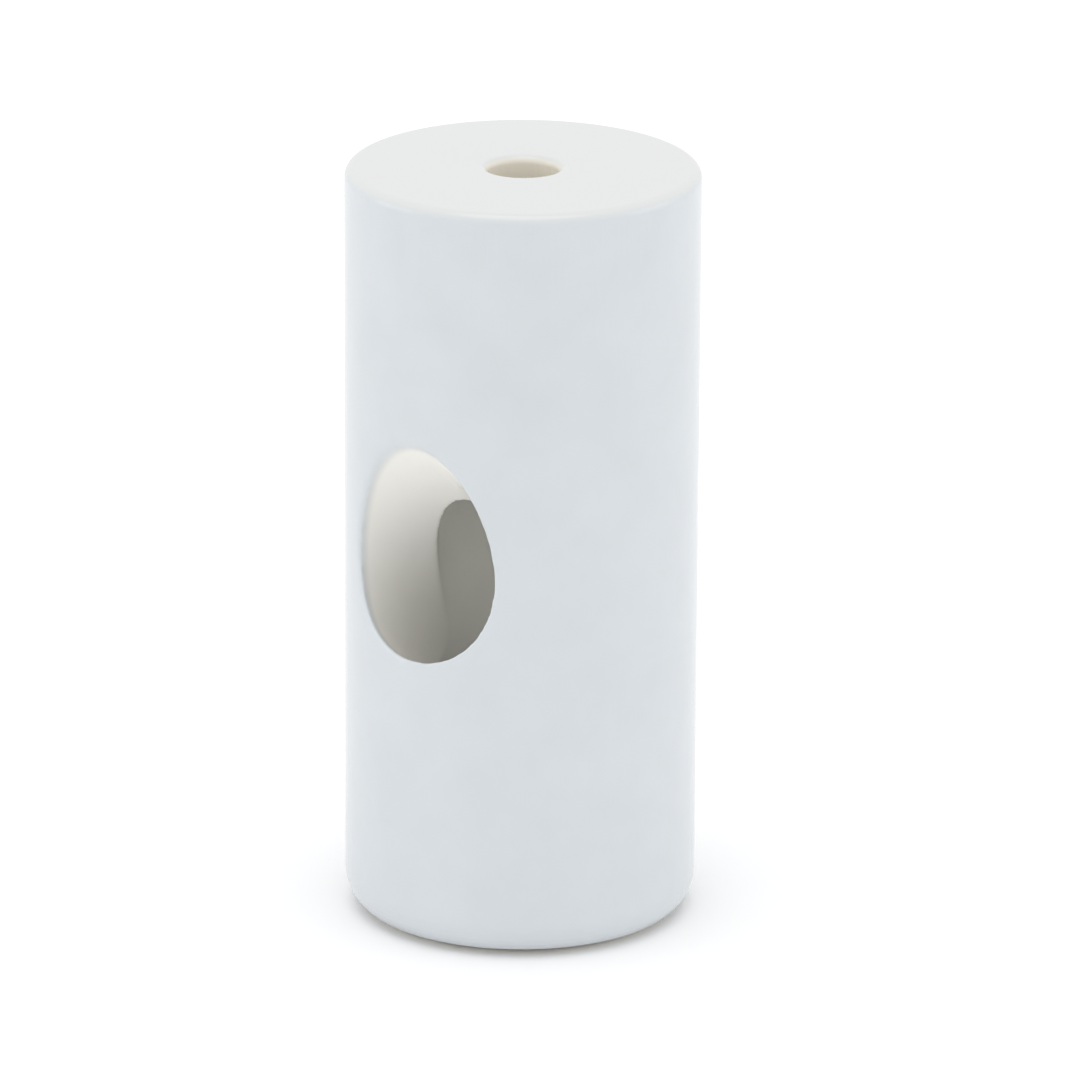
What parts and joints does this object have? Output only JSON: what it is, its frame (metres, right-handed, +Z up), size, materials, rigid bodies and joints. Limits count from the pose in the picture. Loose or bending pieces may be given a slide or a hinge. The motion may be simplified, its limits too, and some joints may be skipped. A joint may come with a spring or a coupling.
{
  "type": "porcelain insulator",
  "caption": "Upright glazed porcelain cylinder: wire passage up from the foot, sloping round side port that meets it, small fixing hole through the top.",
  "frame": {"origin": "centre of the foot's flat face, on the cylinder's axis", "axes": "+Z up the cylinder's axis from the foot to the top hole, -Y out of the side port, X across it"},
  "size_m": [0.035, 0.035, 0.0765],
  "materials": {
    "porcelain": "fired, bare on the foot, fine matt grain",
    "glaze": "fired white gloss glaze"
  },
  "bodies": {
    "root": {"porcelain_body": "porcelain", "glaze_coat": "glaze"}
  },
  "joints": []
}
